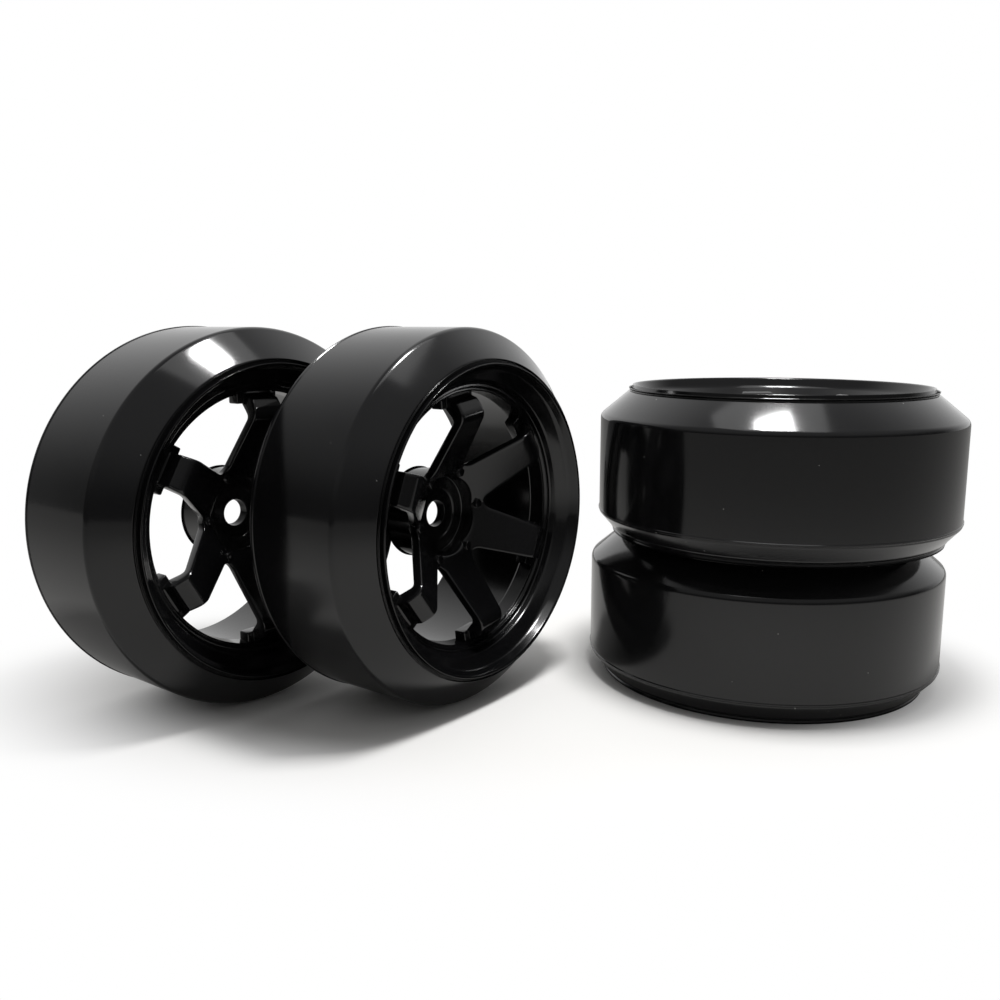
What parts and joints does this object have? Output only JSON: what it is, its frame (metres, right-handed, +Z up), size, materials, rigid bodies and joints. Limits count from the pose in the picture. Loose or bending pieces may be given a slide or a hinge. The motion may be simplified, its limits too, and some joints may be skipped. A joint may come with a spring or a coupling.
{
  "type": "set of radio controlled drift car wheels",
  "caption": "Set of hard-plastic drift wheels for a radio controlled car: slick tyre rings pressed on deep-dish spoked rims, some standing and some stacked.",
  "frame": {"origin": "centre of the set's bounding box, on the surface that the wheels rest on", "axes": "+Z up; +X along the set from the standing wheels to the stack; -Y towards the side that shows the standing wheels' outboard faces"},
  "size_m": [0.1536, 0.0732, 0.0623],
  "materials": {
    "tyre_plastic": "satin hard plastic, moulded",
    "rim_plastic": "glossy moulded plastic"
  },
  "bodies": {
    "front_wheel": {"front_rim": "rim_plastic", "front_tyre": "tyre_plastic"},
    "rear_wheel": {"rear_rim": "rim_plastic", "rear_tyre": "tyre_plastic"},
    "lower_wheel": {"lower_rim": "rim_plastic", "lower_tyre": "tyre_plastic"},
    "upper_wheel": {"upper_rim": "rim_plastic", "upper_tyre": "tyre_plastic"}
  },
  "joints": [
    {"name": "front_wheel_spin", "type": "hinge", "parent": "lower_wheel", "child": "front_wheel", "pos_m": [-0.01457, -0.00732, 0.03115], "axis": [0.7979, -0.6028, 0], "continuous": true},
    {"name": "rear_wheel_spin", "type": "hinge", "parent": "lower_wheel", "child": "rear_wheel", "pos_m": [-0.04858, -0.00633, 0.03115], "axis": [0.7797, -0.6262, 0], "continuous": true},
    {"name": "upper_wheel_lift", "type": "slide", "parent": "lower_wheel", "child": "upper_wheel", "axis": [0, 0, 1], "range_m": [0, 0.06]}
  ]
}
